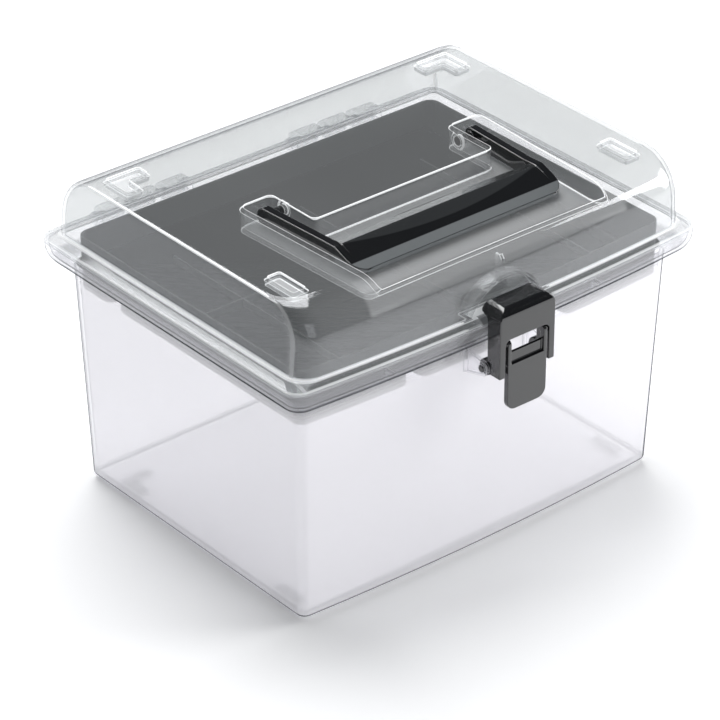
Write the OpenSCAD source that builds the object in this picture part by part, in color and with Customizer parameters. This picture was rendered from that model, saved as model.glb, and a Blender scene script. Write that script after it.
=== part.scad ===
// Clear portable box for papers: a tub, a hinged lid with a folding carrying handle,
// a lift-out organiser tray and a two-piece front latch. Sizes are in millimetres.
// The box stands on its feet at z = 0, with its front towards -Y.

/* [Tub] */
// Width of the tub across its underside
tub_w = 306; // [290:1:340]
// Depth of the tub across its underside, at the two ends of the front
tub_d = 231; // [215:1:260]
// Height of the tub from its underside to its rim
tub_h = 182.5; // [150:0.5:240]
// How far the middle of the front bows out
front_bow = 5.3; // [0:0.1:8]
// Thickness of the clear walls
wall = 2.3; // [1.8:0.1:2.6]
// How far each wall leans out between the underside and the rim
wall_lean = 6.3; // [3:0.1:9]
// Radius of the upright corners at the underside
corner_r = 6; // [5:0.5:10]
// Radius of the edge round the underside
base_edge_r = 3; // [1.5:0.5:4]
// How far the flared rim stands out past the wall
flare_out = 14.8; // [13:0.1:17]
// Height of the flared rim
flare_h = 18.5; // [17:0.5:22]
// Height of the plain edge at the top of the flared rim
rim_edge_h = 2.5; // [1.5:0.5:4]
// Thickness of the ribs inside the flared rim
rib_t = 1.6; // [1:0.1:2.5]

/* [Stacking feet] */
// Height of the feet
foot_h = 3; // [2:0.1:3.2]
// Width of a foot
foot_w = 8; // [6:0.5:10]
// Length of a foot
foot_l = 24; // [18:1:30]
// Length of a corner foot from front to back
foot_depth = 22; // [18:1:28]
// Distance from the side of the tub to a foot
foot_side_gap = 8; // [6:0.5:12]
// Distance from the back of the tub to a corner foot
foot_back_gap = 23; // [20:0.5:30]
// Distance from the front of the tub to a front foot
foot_front_gap = 16; // [12:0.5:22]
// Depth of the sockets in the lid that take the feet of a box above
socket_depth = 4.8; // [4.4:0.1:5.2]
// Room between a foot and the side of its socket
socket_room = 1; // [0.5:0.1:1.5]
// Thickness of the socket walls
socket_wall = 1.5; // [1:0.1:2]

/* [Lid] */
// Height of the lid above the rim
lid_h = 52; // [48:0.5:65]
// Height of the lid flange
flange_h = 5.2; // [4.8:0.1:7]
// How far the lid ends stand out past the underside of the tub
lid_end_out = 11.5; // [10.5:0.1:13]
// How far the lid front stands out past the underside of the tub
lid_front_out = 15.2; // [14:0.1:16.5]
// How far the lid back stands out past the underside of the tub
lid_back_out = 9.1; // [8.5:0.1:11]
// How far each lid end leans in towards the top
lid_end_lean = 3.5; // [1:0.1:6]
// Radius of the long rounding along the front of the lid
front_round = 26; // [20:1:30]
// Radius of the long rounding along the back of the lid
back_round = 32; // [26:1:38]
// Radius of the top edge at the lid ends
end_round = 3; // [2.5:0.5:5]
// Radius of the upright corners at the front of the lid
lid_front_corner_r = 18; // [12:1:24]
// Radius of the upright corners at the back of the lid
lid_back_corner_r = 6; // [4:0.5:10]
// Radius of the arched pocket in the lid behind the latch
arch_r = 32; // [28:0.5:36]
// Height of the arched pocket above the lid flange
arch_h = 19.2; // [14:0.2:22]
// Depth of the arched pocket
arch_depth = 9; // [5:0.5:11]

/* [Handle] */
// Half the width of the handle over its grip
handle_half = 89; // [80:0.5:92]
// How much further out each arm stands at its pivot
arm_splay = 3.5; // [0:0.5:6]
// Width of a handle arm
arm_w = 6.5; // [5:0.5:8]
// Height of the handle arms
arm_h = 12; // [10:0.5:12.5]
// Reach of the handle from its pivot to the front of its grip
handle_reach = 92; // [84:1:96]
// Depth of the grip, front to back
grip_depth = 36; // [28:1:40]
// Height of the crest of the grip above the pivot
grip_crest = 6.4; // [5:0.1:7]
// How much further back the middle of the grip reaches than its ends
grip_bow = 4.5; // [0:0.5:6]
// Radius of the handle pivots
handle_pin_r = 3.4; // [2.5:0.05:4]
// Place of the handle pivot in front of the middle of the tub
handle_pivot_front = 2.5; // [0:0.5:8]
// Depth of the well in the lid that holds the handle
recess_depth = 15.4; // [15:0.1:18]
// Height of the handle pivot above the floor of the well
handle_pivot_up = 8; // [7.4:0.1:8.4]
// Room between a handle arm and the island, at the grip
recess_inner_room = 5.5; // [4:0.5:8]
// Room beside the ends of the grip
recess_outer_room = 6.5; // [5:0.5:8]
// Extra half width of the well at its pivot ends
recess_flare = 6.5; // [5:0.5:8]
// Room behind the pivot end of a handle arm
recess_end_room = 4.5; // [3:0.1:8]
// Room in front of the grip
recess_front_room = 33; // [24:0.5:34]
// Finger room behind the grip
finger_room = 22.5; // [16:0.5:26]

/* [Latch] */
// Width of the latch
latch_w = 47; // [40:1:54]
// Depth of the latch, front to back
latch_depth = 12.6; // [11:0.2:15]
// Gap between the latch and the rim
latch_rim_gap = 2.8; // [1.5:0.1:3.5]
// How far the latch nose reaches back over the rim
nose_reach = 7; // [5:0.1:7.6]
// Thickness of the latch nose
nose_t = 9; // [8:0.1:11]
// Height of the latch nose above the lid flange
nose_lift = 2; // [1:0.1:3]
// Height of the latch frame from the ends of its legs to its top
latch_h = 49.5; // [46:0.5:54]
// Width of the window in the latch frame
window_w = 37; // [32:0.5:38]
// Height of the window above the ends of the frame legs
window_h = 27; // [24:0.5:29]
// Radius of the round lobe on each frame leg
lobe_r = 5.8; // [5:0.1:6.5]
// Radius of the latch pivots
latch_pin_r = 2.5; // [2:0.05:3]
// Thickness of the ears on the tub that carry the latch
ear_t = 3; // [2.4:0.1:4]
// Width of the pull lever
lever_w = 33.2; // [28:0.2:35]
// Length of the lever plate
plate_l = 34.5; // [28:0.5:38]
// Thickness of the lever plate
plate_t = 4; // [3:0.1:4.5]
// Width of a lever rail
rail_w = 2.8; // [2.2:0.1:3.6]
// Radius of the round tips of the lever rails
lever_tip_r = 2.8; // [2.2:0.1:3.2]
// Height of the lever rails above the plate
rail_l = 14.5; // [12:0.5:15.5]
// Radius of the lever pivots
lever_pin_r = 1.5; // [1.2:0.05:1.8]

/* [Tray] */
// How far the tray stands out past the underside of the tub, at its ends and back
tray_end_out = 2.2; // [1:0.1:2.4]
// How far the front of the tray stands out past the underside of the tub
tray_front_out = 1; // [0:0.5:2]
// How much the tray walls lean in towards its floor
tray_lean = 0.3; // [0.1:0.1:1]
// Radius of the upright corners of the tray
tray_corner_r = 8; // [6:1:14]
// Thickness of the tray walls
tray_wall = 1.8; // [1.4:0.1:2.2]
// Depth of the tray from its rim to the floor between the wells
pan_depth = 31; // [24:0.5:34]
// Height of the tray rim above the rim of the tub
tray_proud = 4.8; // [2:0.1:8]
// Width of the ledges that carry the ends of the tray
ledge_w = 4.2; // [3.5:0.1:5]
// Depth of the wells below the upper part
well_depth = 8.5; // [6:0.5:20]
// Half the width of the middle well
mid_well_half = 57; // [40:1:58]
// Width of the raised bridge between two wells
bridge_w = 10.5; // [10:0.5:28]
// Depth of the pen well along the back of the tray
pen_well_d = 34; // [24:1:40]
// Radius of the upright corners of the wells
well_corner_r = 7; // [5:1:14]

/* [Hinge] */
// Radius of the hinge bars on the tub
hinge_bar_r = 2.4; // [2:0.05:2.6]
// Radius of the lid hooks that clip over the bars
hook_r = 4.7; // [4.4:0.1:5]
// Gap between the lid hooks and the rim
hook_gap = 1; // [0.6:0.1:2]
// Distance from the middle of the box to the nearer end of a hinge
hinge_start = 44; // [30:1:50]
// Length of a hinge over its lugs
hinge_l = 80; // [60:1:84]
// Thickness of the hinge lugs
lug_t = 4; // [3:0.5:5]
// Number of lid hooks in a hinge
hooks = 3; // [2:1:4]
// Gap between neighbouring lid hooks
hook_space = 6; // [4:0.5:8]
// Width of the mouth of a lid hook
hook_mouth = 3; // [2.5:0.1:3.4]

/* [Fits] */
// Room all round a pin in its bore
pin_fit = 0.05; // [0.02:0.01:0.1]
// Running gap beside a moving piece
run_gap = 0.4; // [0.3:0.05:0.8]
// Gap between pieces that lie on each other
seat_gap = 0.3; // [0.2:0.05:0.5]
// Room behind the latch nose
nose_room = 1.5; // [1:0.1:3]

/* [Hidden] */
$fn = 48;

// Overrun of a cut past a face, and the lap of one form into its neighbour
over = 1;
lap = 0.5;

// Steps round a corner, along the bowed front and up a rounding
corner_steps = 6;
front_steps = 12;
round_steps = 8;

half_w = tub_w / 2;
half_d = tub_d / 2;

// Shares: growth of the corner radius with the offset, lug radius of the hook radius, and a half
grow_share = 0.3;
lug_share = 0.9;
web_share = 0.5;

// Smallest rounding, and plastic round the bores of the latch and of the handle
fine_r = 1;
ear_rim = 2.75;
boss_rim = 2.55;

// Heights above the ground
base_z = foot_h;
rim_z = base_z + tub_h;
flare_z = rim_z - flare_h;
lid_z = rim_z + seat_gap;
flange_z = lid_z + flange_h;
top_z = lid_z + lid_h;

// Reach past the underside of the wall below the flare, and of the rim
flare_start = wall_lean * (flare_z - base_z) / tub_h;
rim_out = flare_start + flare_out;
flare_rise = flare_h - rim_edge_h;
rim_front = half_d + front_bow + rim_out;

// Latch places
latch_back = rim_front + latch_rim_gap;
latch_front = latch_back + latch_depth;
nose_front = latch_back - nose_reach;
nose_low_z = flange_z + nose_lift;
latch_top_z = nose_low_z + nose_t;
leg_low_z = latch_top_z - latch_h;
window_top_z = leg_low_z + window_h;
lobe_back_share = 0.26;
lobe_up_share = 0.68;
latch_pivot_y = -latch_back + lobe_r * lobe_back_share;
latch_pivot_z = leg_low_z + lobe_r * lobe_up_share;
ear_x = latch_w / 2 + run_gap;
ear_r = latch_pin_r + ear_rim;
pin_end_x = ear_x + ear_t + lap;
lever_front = latch_front + run_gap;
lever_pivot_y = lever_tip_r - lever_front;
lever_pivot_z = window_top_z - 2 * run_gap - lever_tip_r;
plate_top_z = lever_pivot_z - rail_l;
plate_low_z = plate_top_z - plate_l;

// Hinge places
hinge_y = half_d + rim_out + hook_gap + hook_r;
hinge_z = rim_z - hook_r - 2 * seat_gap;
hook_w = (hinge_l - 2 * (lug_t + run_gap) - (hooks - 1) * hook_space) / hooks;

// Handle places
handle_y = -handle_pivot_front;
well_floor_z = top_z - recess_depth;
handle_z = well_floor_z + handle_pivot_up;
arm_in = handle_half - arm_w;
arm_end_r = arm_h / 2;
grip_front = handle_pivot_front + handle_reach;
grip_back = grip_front - grip_depth;
island_x = arm_in - recess_inner_room;
pin_in_x = island_x - wall - 2 * lap;
pin_root_x = arm_in + arm_splay + lap;
well_front_x = handle_half + recess_outer_room;
well_back_x = well_front_x + recess_flare;
well_front = grip_front + recess_front_room;
well_back = arm_end_r + recess_end_room - handle_pivot_front;
island_front = grip_back - finger_room;

// Tray places
tray_rim_z = rim_z + tray_proud;
tray_low_z = tray_rim_z - pan_depth;
well_low_z = tray_low_z - well_depth;
ledge_z = flare_z + wall + seat_gap;

// The origin is the middle of the whole footprint, latch and hinges included
shift_y = (lever_front - hinge_y - hook_r) / 2;

function lean_at(z) = wall_lean * (z - base_z) / tub_h;
function bow_at(x) = front_bow * (1 - pow(x / half_w, 2));
function unit(v) = v / norm(v);

// Points of one rounded corner, of radius r about c, from angle a
function corner(c, r, a) = [for (i = [0 : corner_steps])
    c + r * [cos(a + 90 * i / corner_steps), sin(a + 90 * i / corner_steps)]];

// Level outline with a bowed front, at half width w, front at -(f + bow) and back at b,
// with corner radii rf at the front and rb at the back
function outline(w, f, b, rf, rb) = concat(
    corner([rf - w, rf - f - bow_at(w - rf)], rf, 180),
    [for (i = [1 : front_steps - 1]) let (x = (w - rf) * (2 * i / front_steps - 1))
        [x, -f - bow_at(x)]],
    corner([w - rf, rf - f - bow_at(w - rf)], rf, 270),
    corner([w - rb, b - rb], rb, 0),
    corner([rb - w, b - rb], rb, 90));

// The same outline given by how far it stands out past the underside of the tub
function ring(out_x, out_f, out_b, rf, rb, z) =
    [for (p = outline(half_w + out_x, half_d + out_f, half_d + out_b, rf, rb)) [p[0], p[1], z]];
function even_r(out) = corner_r + grow_share * out;
function even_ring(out, z) = ring(out, out, out, even_r(out), even_r(out), z);

// Closed skin through level outlines that have the same number of points
module skin(rings) {
    n = len(rings[0]);
    m = len(rings);
    polyhedron(
        points = [for (r = rings) each r],
        faces = concat(
            [[for (j = [0 : n - 1]) j]],
            [for (i = [0 : m - 2], j = [0 : n - 1])
                [i * n + j, (i + 1) * n + j, (i + 1) * n + (j + 1) % n]],
            [for (i = [0 : m - 2], j = [0 : n - 1])
                [i * n + j, (i + 1) * n + (j + 1) % n, i * n + (j + 1) % n]],
            [[for (j = [n - 1 : -1 : 0]) (m - 1) * n + j]]),
        convexity = 8);
}

// Flat outline with its corners rounded, each by its own radius
function fillet(a, c, b, r) = r == 0 ? [c] :
    let (u = unit(a - c), v = unit(b - c), half = acos(u * v) / 2,
         o = c + unit(u + v) * r / sin(half),
         p = c + u * r / tan(half) - o, q = c + v * r / tan(half) - o,
         a0 = atan2(p[1], p[0]), turn = atan2(q[1], q[0]) - a0,
         sweep = turn > 180 ? turn - 360 : turn < -180 ? turn + 360 : turn)
    [for (i = [0 : corner_steps])
        let (t = a0 + sweep * i / corner_steps) o + r * [cos(t), sin(t)]];
function rounded(pts, radii) = let (n = len(pts))
    [for (i = [0 : n - 1]) each fillet(pts[(i + n - 1) % n], pts[i], pts[(i + 1) % n], radii[i])];
function sides(x0, x1, y0, y1) = [[x0, y0], [x1, y0], [x1, y1], [x0, y1]];
function even(n, r) = [for (i = [1 : n]) r];

// Extrusions across the box, of outlines drawn as [y, z], and through it, drawn as [x, z]
module across(x0, x1) {
    translate([x0, 0, 0]) rotate([90, 0, 90]) linear_extrude(height = x1 - x0) children();
}
module through(y0, y1) {
    translate([0, y1, 0]) rotate([90, 0, 0]) linear_extrude(height = y1 - y0) children();
}
module upright(z0, z1) {
    translate([0, 0, z0]) linear_extrude(height = z1 - z0) children();
}
module bar(r, x0, x1, y, z) {
    translate([x0, y, z]) rotate([0, 90, 0]) cylinder(r = r, h = x1 - x0);
}
module box(low, high) {
    translate(low) cube(high - low);
}
module disc(y, z, r) {
    translate([y, z]) circle(r = r);
}
module both_sides() {
    children();
    mirror([1, 0, 0]) children();
}

// Tub walls: rounded lower edge, leaning walls and a flared rim
function flare_rings(t, z_end) = concat(
    [for (i = [0 : round_steps]) let (a = 90 * i / round_steps)
        even_ring(flare_start + (flare_out - t) * sin(a),
                  flare_z + t + (flare_rise - t) * (1 - cos(a)))],
    [even_ring(rim_out - t, z_end)]);
function edge_rings(t, r) = [for (i = [0 : corner_steps]) let (a = 90 * i / corner_steps)
    even_ring(lean_at(base_z + t + r * (1 - cos(a))) - t - r * (1 - sin(a)),
              base_z + t + r * (1 - cos(a)))];
module tub_outside() {
    skin(concat(edge_rings(0, base_edge_r), flare_rings(0, rim_z)));
}
module tub_inside() {
    skin(concat(edge_rings(wall, base_edge_r - wall * web_share),
                [even_ring(flare_start - wall, flare_z + wall * web_share)],
                flare_rings(wall, rim_z + over)));
}

// Feet and their sockets share one outline, grown by the room round it
foot_x = half_w - foot_side_gap;
function front_foot(g) = sides(foot_x - foot_w - g, foot_x + g,
    foot_front_gap - half_d - g, foot_front_gap + foot_l - half_d + g);
function corner_foot(g) = let (y = half_d - foot_back_gap)
    [[foot_x - foot_l - g, y - foot_w - g], [foot_x - foot_w - g, y - foot_w - g],
     [foot_x - foot_w - g, y - foot_depth - g], [foot_x + g, y - foot_depth - g],
     [foot_x + g, y + g], [foot_x - foot_l - g, y + g]];
foot_edge_r = 2;
module foot_plans(g) {
    both_sides() {
        polygon(rounded(front_foot(g), even(4, foot_edge_r)));
        polygon(rounded(corner_foot(g), even(6, foot_edge_r)));
    }
}

// One ear that carries the latch frame
ear_low_drop = 10;
ear_high_rise = 9;
module ear() {
    wall_y = -half_d - front_bow - lean_at(latch_pivot_z) + wall * web_share;
    difference() {
        across(ear_x, ear_x + ear_t) {
            disc(latch_pivot_y, latch_pivot_z, ear_r);
            polygon([[wall_y, latch_pivot_z - ear_low_drop],
                     [latch_pivot_y, latch_pivot_z - ear_r],
                     [latch_pivot_y, latch_pivot_z + ear_r],
                     [wall_y, latch_pivot_z + ear_high_rise]]);
        }
        bar(latch_pin_r + pin_fit, ear_x - over, ear_x + ear_t + over, latch_pivot_y, latch_pivot_z);
    }
}

// Hinge bar between two lugs on the back of the rim
module hinge_bars() {
    lug_r = hook_r * lug_share;
    root_y = half_d + rim_out - wall;
    both_sides() {
        bar(hinge_bar_r, hinge_start, hinge_start + hinge_l, hinge_y, hinge_z);
        for (x = [hinge_start, hinge_start + hinge_l - lug_t])
            across(x, x + lug_t) {
                disc(hinge_y, hinge_z, lug_r);
                polygon([[root_y, hinge_z - lug_r], [hinge_y, hinge_z - lug_r],
                         [hinge_y, hinge_z + lug_r], [root_y, hinge_z + lug_r]]);
            }
    }
}

// Ribs inside the flare, along the front, that keep the tray in its place
rib_x = 89;
rib_low_drop = 3.5;
rib_top_drop = 12.5;
rib_reach = 20;
module rim_ribs() {
    intersection() {
        tub_outside();
        both_sides() box([rib_x - rib_t / 2, -rim_front, flare_z - rib_low_drop],
            [rib_x + rib_t / 2, rib_reach - rim_front, rim_z - rib_top_drop]);
    }
}

module tub() {
    color([0.86, 0.88, 0.93, 0.3]) translate([0, shift_y, 0]) {
        difference() {
            tub_outside();
            tub_inside();
        }
        rim_ribs();
        hinge_bars();
        both_sides() ear();
        upright(0, base_z + lap) foot_plans(0);
    }
}

// Lid walls, inset by t: a short flange, upright walls and three roundings at the top
back_round_z = top_z - back_round;
function fall(r, z) = z <= top_z - r ? 0 : r - sqrt(max(0, r * r - pow(z - top_z + r, 2)));
function inner_fall(r, t, z) = z <= top_z - r ? 0 :
    r - t - sqrt(max(0, pow(r - t, 2) - pow(z - top_z + r, 2)));
function wall_ring(t, z) = ring(
    lid_end_out - t - lid_end_lean * (z - flange_z) / (top_z - flange_z) - inner_fall(end_round, t, z),
    lid_front_out - t - inner_fall(front_round, t, z),
    lid_back_out - t - inner_fall(back_round, t, z),
    lid_front_corner_r - t, lid_back_corner_r - t, z);
flange_edge_share = 0.45;
function flange_rings(t, z0) = [
    ring(rim_out - t, rim_out - t, rim_out - t, even_r(rim_out) - t, even_r(rim_out) - t, z0),
    ring(rim_out - t, rim_out - t, rim_out - t, even_r(rim_out) - t, even_r(rim_out) - t,
         lid_z + (flange_h - t) * flange_edge_share)];
// Levels where the rounding at the back has turned by even steps, with more near the top
function levels(t) = concat(
    [for (i = [0 : round_steps]) back_round_z + (back_round - t) * sin(90 * i / round_steps)]);
module lid_outside() {
    skin(concat(flange_rings(0, lid_z), [wall_ring(0, flange_z)],
                [for (z = levels(0)) wall_ring(0, z)]));
}
module lid_inside() {
    skin(concat(flange_rings(wall, lid_z - over), [wall_ring(wall, flange_z - wall * web_share)],
                [for (z = levels(wall)) wall_ring(wall, z)]));
}

// Well for the handle, U-shaped round an island, grown by g
well_r = 8;
well_end_r = 5;
well_inner_r = 3.5;
well_front_curve_r = 20;
function well_plan(g) = rounded(
    [[-well_front_x - g, -well_front - g], [well_front_x + g, -well_front - g],
     [well_back_x + g, well_back + g], [island_x - g, well_back + g],
     [island_x - g, g - island_front], [g - island_x, g - island_front],
     [g - island_x, well_back + g], [-well_back_x - g, well_back + g]],
    [well_r + g, well_r + g, well_end_r + g, well_inner_r + g,
     well_end_r - g, well_end_r - g, well_inner_r + g, well_end_r + g]);
module well(g) {
    intersection() {
        upright(well_floor_z - g, top_z + over) polygon(well_plan(g));
        across(-half_w, half_w) polygon(rounded(
            [[half_d, well_floor_z - g], [half_d, top_z + over],
             [-well_front - g, top_z + over], [-well_front - g, well_floor_z - g]],
            [0, 0, 0, well_front_curve_r + g]));
    }
}

// Arched pocket behind the latch, grown by g
spine_rise = 9.6;
arch_z = flange_z + arch_h - arch_r;
arch_back = half_d + front_bow + lid_front_out - arch_depth;
module arch(g) {
    intersection() {
        through(-rim_front, g - arch_back) disc(0, arch_z, arch_r + g);
        box([-half_w, -rim_front, flange_z - g], [half_w, half_d, top_z]);
    }
}

// Lid hooks that clip over the hinge bars
hook_slope_drop = 1.6;
module lid_hooks() {
    root_y = half_d + rim_out - 2 * wall;
    for (i = [0 : hooks - 1]) {
        x = hinge_start + lug_t + run_gap + i * (hook_w + hook_space);
        difference() {
            across(x, x + hook_w) {
                disc(hinge_y, hinge_z, hook_r);
                polygon([[root_y, lid_z], [hinge_y - hook_r, lid_z], [hinge_y - hook_r, hinge_z],
                         [hinge_y + hook_r, hinge_z], [hinge_y + hook_r, lid_z],
                         [hinge_y, flange_z - hook_slope_drop], [root_y, flange_z - hook_slope_drop]]);
            }
            bar(hinge_bar_r + pin_fit, x - over, x + hook_w + over, hinge_y, hinge_z);
            box([x - over, hinge_y - hook_mouth / 2, hinge_z - hook_r - over],
                [x + hook_w + over, hinge_y + hook_mouth / 2, hinge_z]);
        }
    }
}

// Bosses round the handle pivots, inside the island, and the cut behind the latch nose
boss_r = handle_pin_r + boss_rim;
cut_x = latch_w / 2 + over;
cut_front = nose_front - nose_room;
module lid() {
    color([0.86, 0.88, 0.93, 0.3]) translate([0, shift_y, 0]) difference() {
        union() {
            difference() {
                lid_outside();
                lid_inside();
            }
            intersection() {
                lid_outside();
                union() {
                    well(wall);
                    arch(wall);
                    box([-rib_t / 2, -rim_front, flange_z + spine_rise],
                        [rib_t / 2, wall - arch_back, well_floor_z + wall]);
                    upright(top_z - socket_depth - socket_wall, top_z)
                        foot_plans(socket_room + socket_wall);
                }
            }
            both_sides() {
                lid_hooks();
                bar(boss_r, pin_in_x, island_x - lap, handle_y, handle_z);
            }
        }
        well(0);
        arch(0);
        upright(top_z - socket_depth, top_z + over) foot_plans(socket_room);
        both_sides() bar(handle_pin_r + pin_fit, pin_in_x - over, island_x + over,
            handle_y, handle_z);
        box([-cut_x, -rim_front - over, lid_z - over], [cut_x, -cut_front, flange_z + over]);
    }
}

// Tray: a deep pan that hangs from a ledge at each end, with wells in its floor and low dividers
function tray_ring(t, lean, z, wide = 0) = ring(tray_end_out - t - lean + wide,
    tray_front_out - t - lean, tray_end_out - t - lean, tray_corner_r - t, tray_corner_r - t, z);
well_edge = 0.4;
pen_gap = 8;
pen_back = half_d + tray_end_out - tray_lean - well_edge;
pen_front = pen_back - pen_well_d;
function well_boxes() = let (x = half_w + tray_end_out - tray_lean - well_edge,
        f = half_d + front_bow, b = pen_front - pen_gap)
    [[-x, -mid_well_half - bridge_w, -f, b], [-mid_well_half, mid_well_half, -f, b],
     [mid_well_half + bridge_w, x, -f, b], [-x, x, pen_front, pen_back]];
module wells(g, z0, z1) {
    intersection() {
        upright(z0, z1) for (b = well_boxes())
            polygon(rounded(sides(b[0] - g, b[1] + g, b[2] - g, b[3] + g), even(4, well_corner_r + g)));
        skin([tray_ring(-g, tray_lean, z0 - over), tray_ring(-g, tray_lean, z1 + over)]);
    }
}

// Low dividers on the floors of the wells, as x0, x1, y0, y1: they run on to the well walls
divider_t = 1.4;
divider_x = 107.3;
divider_share = 0.62;
function dividers() = let (t = divider_t / 2, f = half_d + front_bow, side = mid_well_half + bridge_w)
    concat([for (x = [-divider_x, 0, divider_x]) [x - t, x + t, -f, pen_front - pen_gap]],
           [[-half_w, -side, -t, t], [side, half_w, -t, t]]);
module organizer_tray() {
    color([0.25, 0.27, 0.29, 0.7]) translate([0, shift_y, 0]) {
        difference() {
            union() {
                skin([tray_ring(0, tray_lean, tray_low_z), tray_ring(0, 0, tray_rim_z)]);
                skin([for (z = [ledge_z, ledge_z + tray_wall]) tray_ring(0, 0, z, ledge_w)]);
                wells(0, well_low_z, tray_low_z + lap);
            }
            skin([tray_ring(tray_wall, tray_lean, tray_low_z + tray_wall),
                  tray_ring(tray_wall, -lap * grow_share, tray_rim_z + over)]);
            wells(-tray_wall, well_low_z + tray_wall, tray_low_z + 2 * tray_wall);
        }
        intersection() {
            wells(-tray_wall + lap, well_low_z + lap, well_low_z + (pan_depth + well_depth) * divider_share);
            for (d = dividers()) box([d[0], d[2], well_low_z], [d[1], d[3], tray_rim_z]);
        }
    }
}

// Handle: two arms with round pivot ends and a cambered grip between them
grip_end_r = 12;
grip_edge_r = 3;
crest_back = 12;
slope_share = 0.25;
shoulder_share = 0.12;
module arm_side() {
    h = arm_h / 2;
    polygon(rounded(
        [[handle_y + arm_end_r, handle_z - h], [handle_y + arm_end_r, handle_z + h],
         [-grip_back, handle_z + h], [-grip_back - crest_back, handle_z + grip_crest],
         [grip_depth * slope_share - grip_front, handle_z + h * shoulder_share],
         [-grip_front, handle_z - h * web_share], [lap - grip_front, handle_z - h]],
        [h - lap, h - lap, 0, grip_edge_r, grip_edge_r, fine_r, fine_r]));
}
module grip_side() {
    h = arm_h / 2;
    polygon(rounded(
        [[grip_bow - grip_back, handle_z - h], [grip_bow - grip_back, handle_z - h * shoulder_share],
         [-grip_back - crest_back, handle_z + grip_crest],
         [grip_depth * slope_share - grip_front, handle_z + h * shoulder_share],
         [-grip_front, handle_z - h * web_share], [lap - grip_front, handle_z - h]],
        [fine_r, fine_r, grip_edge_r, grip_edge_r, fine_r, fine_r]));
}

// Plan of one arm, its inner edge at half width x, and of the whole handle
function arm_plan(x) = [[x + arm_splay, arm_end_r + over], [x, -grip_back], [x, -grip_front]];
function mirrored(pts) = [for (i = [len(pts) - 1 : -1 : 0]) [-pts[i][0], pts[i][1]]];
bow_steps = 10;
module handle() {
    bow = [for (i = [0 : bow_steps]) let (x = arm_in * (2 * i / bow_steps - 1))
        [x, -grip_back + grip_bow * (1 - pow(x / arm_in, 2))]];
    color([0.06, 0.06, 0.07]) translate([0, shift_y, 0]) {
        intersection() {
            union() {
                intersection() {
                    across(-half_w, half_w) arm_side();
                    upright(0, top_z) both_sides()
                        polygon(concat(arm_plan(arm_in), [[handle_half, -grip_front],
                            [handle_half, -grip_back], [handle_half + arm_splay, arm_end_r + over]]));
                }
                intersection() {
                    across(-arm_in - lap, arm_in + lap) grip_side();
                    upright(0, top_z) polygon(concat(bow,
                        [[handle_half, -grip_back], [handle_half, -grip_front - over],
                         [-handle_half, -grip_front - over], [-handle_half, -grip_back]]));
                }
            }
            upright(0, top_z) polygon(rounded(concat(arm_plan(handle_half), mirrored(arm_plan(handle_half))),
                [0, 0, grip_end_r, grip_end_r, 0, 0]));
        }
        both_sides() bar(handle_pin_r, pin_in_x, pin_root_x, handle_y, handle_z);
    }
}

// Latch frame: a nose over the rim, two legs with round lobes and outward pivots
frame_top_r = 8.5;
window_r = 4;
brow_r = 6;
nose_r = 2;
nose_chin = 3.2;
module frame_side() {
    polygon(rounded(
        [[-latch_front, leg_low_z], [-latch_front, latch_top_z], [-nose_front, latch_top_z],
         [-nose_front, nose_low_z + nose_chin], [-latch_back + lap, nose_low_z],
         [-latch_back, window_top_z], [-latch_back, latch_pivot_z], [-latch_back, leg_low_z]],
        [fine_r, brow_r, nose_r, nose_r, fine_r, 0, 0, nose_r]));
    disc(latch_pivot_y, latch_pivot_z, lobe_r);
}
module latch_frame() {
    half = latch_w / 2;
    window_half = window_w / 2;
    color([0.06, 0.06, 0.07]) translate([0, shift_y, 0]) difference() {
        union() {
            intersection() {
                across(-half, half) frame_side();
                through(-latch_front - over, over) polygon(rounded(
                    sides(-half, half, leg_low_z - lobe_r, latch_top_z), [0, 0, frame_top_r, frame_top_r]));
            }
            both_sides() bar(latch_pin_r, half - lap, pin_end_x, latch_pivot_y, latch_pivot_z);
        }
        through(-latch_front - over, over) polygon(rounded(
            sides(-window_half, window_half, leg_low_z - lobe_r - over, window_top_z),
            [0, 0, window_r, window_r]));
        both_sides() bar(lever_pin_r + pin_fit, 0, window_half + lever_pin_l + lap,
            lever_pivot_y, lever_pivot_z);
    }
}

// Pull lever: a plate below two rails that swing on small pivots in the frame legs
lever_pin_l = 3;
plate_r = 7;
web_h_share = 0.55;
module latch_lever() {
    half = lever_w / 2;
    color([0.06, 0.06, 0.07]) translate([0, shift_y, 0]) {
        through(-lever_front, plate_t - lever_front) polygon(rounded(
            sides(-half, half, plate_low_z, plate_top_z), [plate_r, plate_r, fine_r, fine_r]));
        through(-lever_front + plate_t * web_share, plate_t - lever_front)
            polygon(sides(-half, half, plate_top_z - lap, plate_top_z + rail_l * web_h_share));
        both_sides() {
            across(half - rail_w, half) {
                disc(lever_pivot_y, lever_pivot_z, lever_tip_r);
                polygon(sides(-lever_front, plate_t - lever_front, plate_top_z - lap, lever_pivot_z));
            }
            bar(lever_pin_r, half - lap, window_w / 2 + lever_pin_l, lever_pivot_y, lever_pivot_z);
        }
    }
}

tub();
lid();
organizer_tray();
handle();
latch_frame();
latch_lever();
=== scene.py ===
"""Dresses the clear file box: smooth clear mouldings, a smoke-grey tray, gloss black handle and latch."""

import math

import bmesh
import bpy
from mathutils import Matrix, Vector
from mathutils.bvhtree import BVHTree


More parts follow.
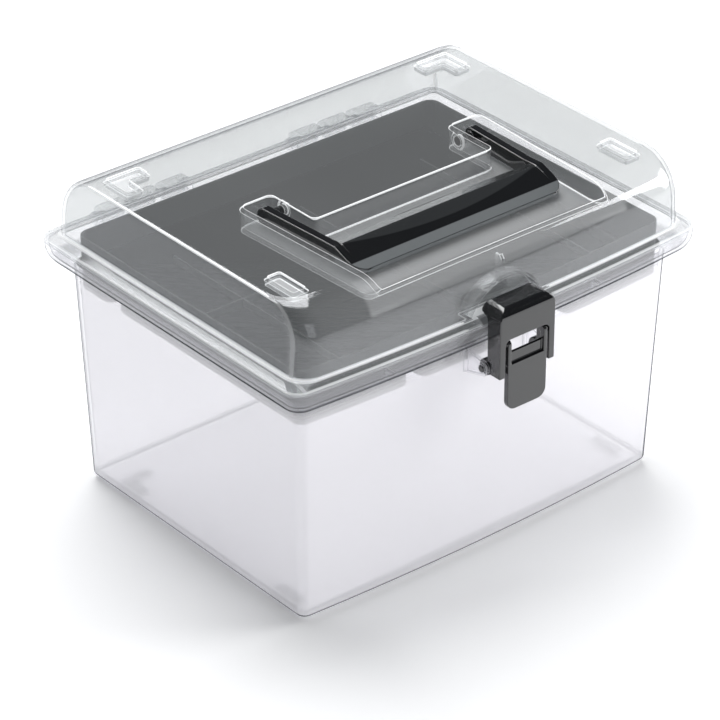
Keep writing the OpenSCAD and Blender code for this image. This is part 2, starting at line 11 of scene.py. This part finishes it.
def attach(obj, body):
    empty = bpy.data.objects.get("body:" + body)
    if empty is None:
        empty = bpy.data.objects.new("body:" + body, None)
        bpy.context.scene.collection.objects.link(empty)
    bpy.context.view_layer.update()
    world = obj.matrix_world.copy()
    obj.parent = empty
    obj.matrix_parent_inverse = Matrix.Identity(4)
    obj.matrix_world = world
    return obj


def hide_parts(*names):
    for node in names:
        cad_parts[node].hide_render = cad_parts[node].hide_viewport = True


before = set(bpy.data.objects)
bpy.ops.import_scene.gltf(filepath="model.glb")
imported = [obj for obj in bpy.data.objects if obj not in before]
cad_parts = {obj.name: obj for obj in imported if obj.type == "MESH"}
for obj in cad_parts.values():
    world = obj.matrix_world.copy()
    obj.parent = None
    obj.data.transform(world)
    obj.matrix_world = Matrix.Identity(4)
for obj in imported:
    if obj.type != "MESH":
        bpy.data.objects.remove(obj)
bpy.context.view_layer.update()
scene = bpy.context.scene

# Sizes and places in metres, in the frame of the CAD model
CENTRE_SHIFT = 0.00535
FOOT_HEIGHT = 0.003
FLOOR_TOP = 0.0068
FLARE_FLOOR = 0.167
TUB_HALF_WIDTH, TUB_HALF_DEPTH = 0.153, 0.1155
WALL_LEAN = 0.0345
CORNER = 0.0055
EAR_BACK = -0.122
LID_LOW, FLANGE_TOP = 0.1858, 0.191
LID_TOP = 0.2378
LID_END, LID_END_LEAN = 0.1645, 0.075
LID_FRONT = -0.1075
WELL_FLOOR = 0.2201
WELL_HALF, WELL_FRONT, WELL_BACK = 0.109, -0.1275, 0.0175
ARCH_HALF, ARCH_FRONT, ARCH_BACK = 0.037, -0.15, -0.1
GRIP_HALF, GRIP_CREST_Y, GRIP_LOW_FRONT = 0.083, -0.0652, 0.2308
GRIP_BOW = 0.010

# Feet and sockets: their two sides in x, their two ends in y, and where the arm of the angled ones starts
FOOT_SIDES, FOOT_ARM_SIDE, FOOT_ARM_Y = (0.1365, 0.1455), 0.121, 0.0895
STRAIGHT_FOOT_ENDS, ANGLED_FOOT_ENDS = (-0.0945, -0.0695), (0.0735, 0.0982)
SOCKET_SIDES, ANGLED_SOCKET_SIDES = (0.1345, 0.1475), (0.118, 0.1475)
SOCKET_ENDS, ANGLED_SOCKET_ENDS = (-0.097, -0.0675), (0.0725, 0.1)

# Widths in metres over which a pattern fades
CRISP, SHARP, FINE, SOFT = 0.0002, 0.0003, 0.0005, 0.001
CORNER_FADE, MILK_FADE, FRONT_FADE = 0.00125, 0.0111, 0.0167
BEHIND_CREST_FADE, PAINTED_LENS_FOOT_FADE = 0.00067, 0.00167

# Merge distance of the loose CAD triangles, and the turn in degrees below which faces are one flat face
MERGE, FLAT = 2e-6, 0.4
SHARP_EDGE = 32.0

# Share of the edge radius that a rounded corner can lie off the CAD surface
OVERSHOOT = 0.45

# Start of a range of distances from the middle plane that takes in the middle itself
BEHIND_MIDDLE = -0.01

FLOOR_HALF = 6.0

# How far a face has to turn edge on before painted grey shade shows on a vertical corner
UPRIGHT_START = 0.465

# Colours, linear
BRIGHT = (0.93, 0.94, 0.95, 1.0)
INK, WORN_INK = (0.003, 0.0033, 0.004, 1.0), (0.005, 0.0055, 0.0065, 1.0)
# Grey painted on the handle's rounded edges as highlight lines, and its worn variant
EDGE_HIGHLIGHT_GREY, WORN_EDGE_HIGHLIGHT_GREY = (0.035, 0.037, 0.039, 1.0), (0.055, 0.058, 0.06, 1.0)
# A paler grey painted on the handle as a reflection
PAINTED_SHEEN_GREY = (0.14, 0.15, 0.155, 1.0)


class Wire:
    """A socket with arithmetic: an expression on wires adds its Math nodes."""

    def __init__(self, paint, socket):
        self.paint, self.socket = paint, socket

    def _math(self, operation, *values):
        return self.paint.node("ShaderNodeMath", {"operation": operation}, dict(enumerate(values)))

    def __add__(self, other):
        return self._math("ADD", self, other)

    __radd__ = __add__

    def __sub__(self, other):
        return self._math("SUBTRACT", self, other)

    def __rsub__(self, other):
        return self._math("SUBTRACT", other, self)

    def __mul__(self, other):
        return self._math("MULTIPLY", self, other)

    __rmul__ = __mul__

    def __pow__(self, other):
        return self._math("POWER", self, other)

    def clamp(self, low=0.0, high=1.0):
        return self._math("MINIMUM", self._math("MAXIMUM", self, low), high)

    def size(self):
        return self._math("ABSOLUTE", self)

    def past(self, place, soft):
        """Zero up to the place, and one from the soft width past it."""
        return ((self - place) * (1.0 / soft)).clamp()

    def short_of(self, place, soft):
        """One until the soft width before the place, and zero from the place on."""
        return ((place - self) * (1.0 / soft)).clamp()

    def between(self, low, high, soft):
        """One inside the range and zero outside it, with soft ends."""
        return self.past(low, soft) * self.short_of(high, soft)


class Paint:
    """One procedural material."""

    def __init__(self, name):
        self.material = bpy.data.materials.new(name)
        self.material.use_nodes = True
        self.tree = self.material.node_tree
        self.tree.nodes.clear()
        self.place = self.node("ShaderNodeTexCoord", {}, {}, "Object")
        self.x, self.y, self.z = (self.node("ShaderNodeSeparateXYZ", {}, {"Vector": self.place}, axis)
                                  for axis in "XYZ")

    def node(self, kind, settings, sockets, out=0):
        n = self.tree.nodes.new(kind)
        for key, value in settings.items():
            setattr(n, key, value)
        for key, value in sockets.items():
            if isinstance(value, Wire):
                self.tree.links.new(value.socket, n.inputs[key])
            else:
                n.inputs[key].default_value = value
        return Wire(self, n.outputs[out])

    def noise(self, scale, detail=2.0, rough=0.5):
        return self.node("ShaderNodeTexNoise", {}, {
            "Vector": self.place, "Scale": scale, "Detail": detail, "Roughness": rough})

    def edge_on(self):
        """Zero where a face is seen straight on, one where it is seen edge on."""
        return self.node("ShaderNodeLayerWeight", {}, {"Blend": 0.5}, "Facing")

    def plastic(self, sockets):
        return self.node("ShaderNodeBsdfPrincipled", {}, sockets)

    def bump(self, height, strength, distance):
        return self.node("ShaderNodeBump", {}, {
            "Height": height, "Strength": strength, "Distance": distance})

    def mix_colour(self, factor, a, b):
        return self.node("ShaderNodeMix", {"data_type": "RGBA"}, {0: factor, 6: a, 7: b}, 2)

    def clear(self, colour):
        return self.node("ShaderNodeBsdfTransparent", {}, {"Color": colour})

    def mix(self, factor, a, b):
        return self.node("ShaderNodeMixShader", {}, {0: factor, 1: a, 2: b})

    def finish(self, shader):
        output = self.tree.nodes.new("ShaderNodeOutputMaterial")
        self.tree.links.new(shader.socket, output.inputs["Surface"])
        return self.material


def clear_film(p, light, outline, milk, milk_colour, painted_glow, sheen, dark=0.0):
    """Clear moulding: a film with grey outlines where it is seen edge on, milky inside and glossy outside.

    light and outline tint what is seen through it, milk is the share of its cloudy body, painted_glow the
    emission that brightens the milky body as painted light, sheen the least roughness of its skin, and dark the
    painted shade added to the outlines.
    """
    rim = p.edge_on()
    flow = p.noise(7.0)
    # The emission of the milky body is painted light that brightens the walls
    inside = p.plastic({
        "Base Color": milk_colour, "Roughness": 0.5, "IOR": 1.45, "Emission Color": milk_colour,
        "Emission Strength": painted_glow})
    body = p.mix((milk + 0.02 * flow).clamp(), p.clear(light), inside)
    skin = p.plastic({
        "Base Color": (0.96, 0.97, 1.0, 1.0), "Metallic": 1.0, "Roughness": p.noise(60.0) * 0.03 + sheen,
        "Normal": p.bump(flow, 0.02, 0.002)})
    glossy = p.mix((0.045 + 0.45 * rim ** 4.0).clamp(high=0.9), body, skin)
    shade = ((rim - 0.7) * 5.0).clamp(high=0.85) + dark
    return p.finish(p.mix(shade.clamp(high=0.9), glossy, p.clear(outline)))


def tub_clear(name):
    """Walls that grow milky below the flared rim, with painted grey shade on the vertical corners, the bottom
    edge, the feet and a band above the flare floor; the ears stay clear.
    """
    p = Paint(name)
    side, depth = p.x.size(), (p.y - CENTRE_SHIFT).size()
    below_flare = p.z.short_of(FLARE_FLOOR, FINE)
    wall = p.z.short_of(FLARE_FLOOR, MILK_FADE)
    ear = p.y.short_of(EAR_BACK, FINE) * below_flare
    lean = (p.z - FOOT_HEIGHT) * WALL_LEAN
    corner_x, corner_y = TUB_HALF_WIDTH - CORNER, TUB_HALF_DEPTH - CORNER
    corner = (side - lean).past(corner_x, CORNER_FADE) * (depth - lean).past(corner_y, CORNER_FADE)
    # Painted shade: grey on the vertical corners as they turn edge on
    upright_painted_shade = corner * below_flare * ((p.edge_on() - UPRIGHT_START) * 28.0).clamp(high=0.88)
    outer = (side.past(corner_x, CORNER_FADE) + depth.past(corner_y, CORNER_FADE)).clamp()
    # Painted shade: a grey line along the bottom edge
    painted_base_line = p.z.between(FOOT_HEIGHT - 0.0001, FOOT_HEIGHT + 0.0028, 0.0004) * outer
    # Painted shade: grey outlines on the feet
    straight_foot = side.between(*FOOT_SIDES, SHARP) * p.y.between(*STRAIGHT_FOOT_ENDS, SHARP)
    angled_foot = side.between(*FOOT_SIDES, SHARP) * p.y.between(*ANGLED_FOOT_ENDS, SHARP)
    arm = side.between(FOOT_ARM_SIDE, FOOT_SIDES[0], SHARP) * p.y.between(FOOT_ARM_Y, ANGLED_FOOT_ENDS[1], SHARP)
    painted_foot_outline = (straight_foot + angled_foot + arm) * p.z.short_of(FLOOR_TOP, SHARP)
    # Painted shade: a grey band just above the flare floor, which is also less milky
    flare_strip_painted_shade = p.z.between(FLARE_FLOOR - 0.0004, FLARE_FLOOR + 0.0085, 0.0015)
    return clear_film(
        p, light=(0.985, 0.983, 0.99, 1.0), outline=(0.28, 0.29, 0.31, 1.0),
        milk=(0.07 + 0.29 * wall) * (1.0 - ear * 0.95) * (1.0 - 0.8 * flare_strip_painted_shade),
        milk_colour=(0.87, 0.86, 0.885, 1.0), painted_glow=0.29, sheen=0.04,
        dark=upright_painted_shade + 0.7 * painted_base_line + 0.45 * painted_foot_outline + 0.33 * flare_strip_painted_shade)


def lid_clear(name):
    """Clear lid with painted highlights: milky white painted on the flange's rounded top, the end edges, the
    well and the sockets, and a painted reflection on the front rounding.
    """
    p = Paint(name)
    side = p.x.size()
    # Painted highlight: milky white on the flange's rounded top
    shoulder_painted_highlight = p.z.between(FLANGE_TOP - 0.0008, FLANGE_TOP + 0.0004, SHARP)
    flange = p.z.between(LID_LOW - 0.001, FLANGE_TOP - 0.0004, SHARP)
    end = side - LID_END + (p.z - FLANGE_TOP) * LID_END_LEAN
    # Painted highlight: milky white along the top edges of the ends
    end_edge_painted_highlight = end.between(-0.0021, -0.0002, FINE)
    below_top = p.z.between(WELL_FLOOR - 0.001, LID_TOP - 0.0026, CRISP)
    well_floor = p.z.between(WELL_FLOOR - 0.001, WELL_FLOOR + 0.0029, 0.0004)
    # Painted highlight: extra milky white in the well and, below the top, in the sockets
    well = below_top * side.between(BEHIND_MIDDLE, WELL_HALF, SOFT) * p.y.between(WELL_FRONT, WELL_BACK, SOFT)
    front_socket = side.between(*SOCKET_SIDES, SHARP) * p.y.between(*SOCKET_ENDS, SHARP)
    back_socket = side.between(*ANGLED_SOCKET_SIDES, SHARP) * p.y.between(*ANGLED_SOCKET_ENDS, SHARP)
    # Painted reflection: the front rounding a little milkier
    front = p.y.short_of(LID_FRONT, FRONT_FADE) * p.z.past(FLANGE_TOP, SOFT)
    return clear_film(
        p, light=(0.915, 0.92, 0.92, 1.0), outline=(0.5, 0.51, 0.52, 1.0),
        milk=(0.035 + 0.85 * shoulder_painted_highlight + 0.04 * flange + 0.26 * end_edge_painted_highlight + 0.05 * front
              + (0.1 + 0.05 * well_floor) * well + 0.3 * below_top * (front_socket + back_socket)),
        milk_colour=(0.86, 0.87, 0.88, 1.0), painted_glow=0.1, sheen=0.03)


def clear_edge(p, share, colour, painted_glow):
    """Rounded edge of a clear moulding, painted as a bright highlight line: a pale opaque skin with emission
    standing in for light.
    """
    flow = p.noise(25.0)
    skin = p.plastic({
        "Base Color": colour, "Roughness": flow * 0.1 + 0.08, "IOR": 1.5, "Emission Color": colour,
        "Emission Strength": painted_glow})
    return p.finish(p.mix((share + 0.2 * flow).clamp(), p.clear(BRIGHT), skin))


def lid_rims(name):
    """Painted highlight lines on the lid's rounded edges, fainter on its low flange and round the arched pocket
    behind the latch.
    """
    p = Paint(name)
    arch = p.x.size().between(BEHIND_MIDDLE, ARCH_HALF, SOFT) * p.y.between(ARCH_FRONT, ARCH_BACK, SOFT) * (
        p.z.between(LID_LOW, WELL_FLOOR + 0.002, FINE))
    low = p.z.short_of(FLANGE_TOP - 0.001, FINE)
    return clear_edge(p, 0.75 * (1.0 - 0.85 * arch) * (1.0 - 0.55 * low), BRIGHT, 0.4)


def gloss_black(p, dark, pale, coat, sheen=0.0):
    """Moulded gloss black with a faint orange peel, fine handling marks and a painted paler reflection where
    sheen asks for it.
    """
    peel = p.noise(420.0, 1.0)
    wear = p.noise(35.0, 6.0, 0.7)
    return p.finish(p.plastic({
        "Base Color": p.mix_colour(sheen, p.mix_colour(wear, dark, pale), PAINTED_SHEEN_GREY),
        "Roughness": wear * 0.06 + 0.07, "IOR": 1.55, "Coat Weight": wear * 0.1 + coat, "Coat Roughness": 0.04,
        "Normal": p.bump(peel, 0.03, 0.0004)}))


def grip_black(name, dark, pale):
    """Black of the handle, with a painted paler reflection in a lens behind the crest of the grip and a painted
    paler band along its low front.
    """
    p = Paint(name)
    side = p.x.size()
    bulge = 1.0 - (side * (1.0 / GRIP_HALF)) ** 2.0
    behind_crest = (p.y + GRIP_BOW * bulge).past(GRIP_CREST_Y, BEHIND_CREST_FADE)
    inside_ends = side.between(BEHIND_MIDDLE, GRIP_HALF - 0.0008, FINE)
    # Painted reflection: a paler lens behind the crest
    lens = behind_crest * p.z.past(GRIP_LOW_FRONT, PAINTED_LENS_FOOT_FADE) * inside_ends
    # Painted reflection: a paler band along the low front
    painted_low_front_band = p.z.short_of(GRIP_LOW_FRONT, SHARP) * p.y.short_of(GRIP_CREST_Y, SOFT)
    return gloss_black(p, dark, pale, 0.7, (0.13 * lens + painted_low_front_band).clamp())


def smoke_plastic(name):
    """Smoke-grey translucent moulding with a satin skin, and an even emission as painted light that flattens its
    shading.
    """
    p = Paint(name)
    cloud = p.noise(14.0, 3.0)
    # The emission is painted light that evens out the shade in the tray's wells
    skin = p.plastic({
        "Base Color": p.mix_colour(cloud, (0.026, 0.028, 0.029, 1.0), (0.03, 0.032, 0.033, 1.0)),
        "Emission Color": (0.056, 0.06, 0.062, 1.0), "Emission Strength": 1.0,
        "Roughness": p.noise(200.0) * 0.04 + 0.42, "IOR": 1.45})
    body = (0.86 + 0.12 * p.edge_on() ** 3.0 + 0.02 * cloud).clamp(high=0.98)
    return p.finish(p.mix(body, p.clear((0.36, 0.375, 0.38, 1.0)), skin))


def pale_floor(name):
    """Plain white studio floor."""
    p = Paint(name)
    return p.finish(p.plastic({
        "Base Color": (0.93, 0.935, 0.945, 1.0), "Roughness": p.noise(3.0) * 0.05 + 0.7,
        "Emission Color": (1.0, 1.0, 1.0, 1.0), "Emission Strength": 0.16}))


def kept_inside(rounded, solid, radius):
    """Takes rounded corners that overshoot on short edges back to the surface and the box of the solid."""
    surface = BVHTree.FromPolygons([v.co for v in solid.vertices], [p.vertices for p in solid.polygons])
    for vertex in rounded.vertices:
        nearest, _, _, gap = surface.find_nearest(vertex.co)
        if gap > OVERSHOOT * radius:
            vertex.co = nearest
    for axis in range(3):
        low, high = (pick(v.co[axis] for v in solid.vertices) for pick in (min, max))
        for vertex in rounded.vertices:
            vertex.co[axis] = min(max(vertex.co[axis], low), high)


def dressed(node, body, materials, edge, segments=2):
    """A smooth-shaded copy of a CAD node, with its sharp edges rounded, that stands for the node."""
    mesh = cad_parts[node].data.copy()
    piece = bpy.data.objects.new(node + "_moulding", mesh)
    scene.collection.objects.link(piece)
    bm = bmesh.new()
    bm.from_mesh(mesh)
    bmesh.ops.remove_doubles(bm, verts=bm.verts, dist=MERGE)
    bmesh.ops.dissolve_limit(bm, angle_limit=math.radians(FLAT), verts=bm.verts, edges=bm.edges)
    bm.to_mesh(mesh)
    bm.free()
    mesh.materials.clear()
    for material in materials:
        mesh.materials.append(material)
    for poly in mesh.polygons:
        poly.material_index = 0
        poly.use_smooth = True
    bevel = piece.modifiers.new("rounded_edges", "BEVEL")
    bevel.width = edge
    bevel.segments = segments
    bevel.use_clamp_overlap = False
    bevel.limit_method = "ANGLE"
    bevel.angle_limit = math.radians(SHARP_EDGE)
    bevel.material = len(materials) - 1
    piece.modifiers.new("flat_faces_stay_flat", "WEIGHTED_NORMAL")
    rounded = bpy.data.meshes.new_from_object(piece.evaluated_get(bpy.context.evaluated_depsgraph_get()))
    kept_inside(rounded, mesh, edge)
    piece.modifiers.clear()
    piece.data = rounded
    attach(piece, body)
    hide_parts(node)


def area(name, place, target, width, height, power, colour=(1.0, 1.0, 1.0)):
    """A soft light that faces its target."""
    light = bpy.data.lights.new(name, "AREA")
    light.shape = "RECTANGLE"
    light.size, light.size_y = width, height
    light.energy = power
    light.color = colour
    lamp = bpy.data.objects.new(name, light)
    lamp.location = place
    lamp.rotation_euler = (Vector(target) - Vector(place)).to_track_quat("-Z", "Y").to_euler()
    scene.collection.objects.link(lamp)


def studio():
    """White floor, grey surroundings, a large soft light behind the box and two before it."""
    mesh = bpy.data.meshes.new("floor")
    corners = [(x * FLOOR_HALF, y * FLOOR_HALF, 0) for x, y in ((-1, -1), (1, -1), (1, 1), (-1, 1))]
    mesh.from_pydata(corners, [], [(0, 1, 2, 3)])
    mesh.materials.append(pale_floor("white_floor"))
    floor = bpy.data.objects.new("floor", mesh)
    scene.collection.objects.link(floor)
    world = bpy.data.worlds.new("surround")
    scene.world = world
    world.use_nodes = True
    background = world.node_tree.nodes["Background"]
    background.inputs["Color"].default_value = (0.9, 0.95, 1.0, 1.0)
    background.inputs["Strength"].default_value = 0.08
    area("overhead", (0.25, 0.85, 2.1), (0, 0, 0), width=1.6, height=1.7, power=56.0)
    area("front_right", (2.2, -1.1, 1.0), (0, 0, 0.1), width=1.4, height=1.4, power=48.0)
    area("front", (-0.9, -2.3, 1.2), (0, 0, 0.1), width=1.4, height=1.6, power=8.0, colour=(0.97, 0.98, 1.0))


def camera():
    """Long lens at the photograph's place and angle."""
    sensor, picture, focal_pixels = 36.0, 720, 3651.47
    dip, turn = 30.88, 39.83
    lens = bpy.data.cameras.new("photo_view")
    lens.sensor_width = sensor
    lens.lens = focal_pixels / picture * sensor
    lens.clip_end = 60
    eye = bpy.data.objects.new("photo_view", lens)
    eye.location = (-1.36425, -1.62542 + CENTRE_SHIFT, 1.35329 + FOOT_HEIGHT)
    eye.rotation_euler = (math.radians(90 - dip), 0, math.radians(-turn))
    scene.collection.objects.link(eye)
    scene.camera = eye


tub_film = tub_clear("tub_film")
lid_film = lid_clear("lid_film")
# Painted highlight lines on the tub's rounded edges
tub_edge = clear_edge(Paint("tub_edge"), 0.35, (0.8, 0.8, 0.83, 1.0), 0.05)
lid_edge = lid_rims("lid_edge")
black = gloss_black(Paint("gloss_black"), INK, WORN_INK, 0.7)
handle_black_painted_sheen = grip_black("handle_black_painted_sheen", INK, WORN_INK)
# Painted highlight: grey on the handle's rounded edges
highlight_black_edge = gloss_black(Paint("black_edge_painted_highlight"), EDGE_HIGHLIGHT_GREY, WORN_EDGE_HIGHLIGHT_GREY, 0.9)
latch_edge = gloss_black(Paint("latch_edge"), INK, WORN_INK, 0.9)
smoke = smoke_plastic("smoke_grey")

dressed("tub", "tub_body", [tub_film, tub_edge], edge=0.0005)
dressed("lid", "lid_body", [lid_film, lid_edge], edge=0.0006)
dressed("organizer_tray", "tray_body", [smoke], edge=0.0004)
dressed("handle", "handle_body", [handle_black_painted_sheen, highlight_black_edge], edge=0.0007, segments=3)
dressed("latch_frame", "latch_frame_body", [black, latch_edge], edge=0.0008, segments=3)
dressed("latch_lever", "latch_lever_body", [black, latch_edge], edge=0.0007, segments=3)

studio()
camera()
scene.view_settings.view_transform = "Standard"
scene.cycles.max_bounces = 16
scene.cycles.transparent_max_bounces = 48
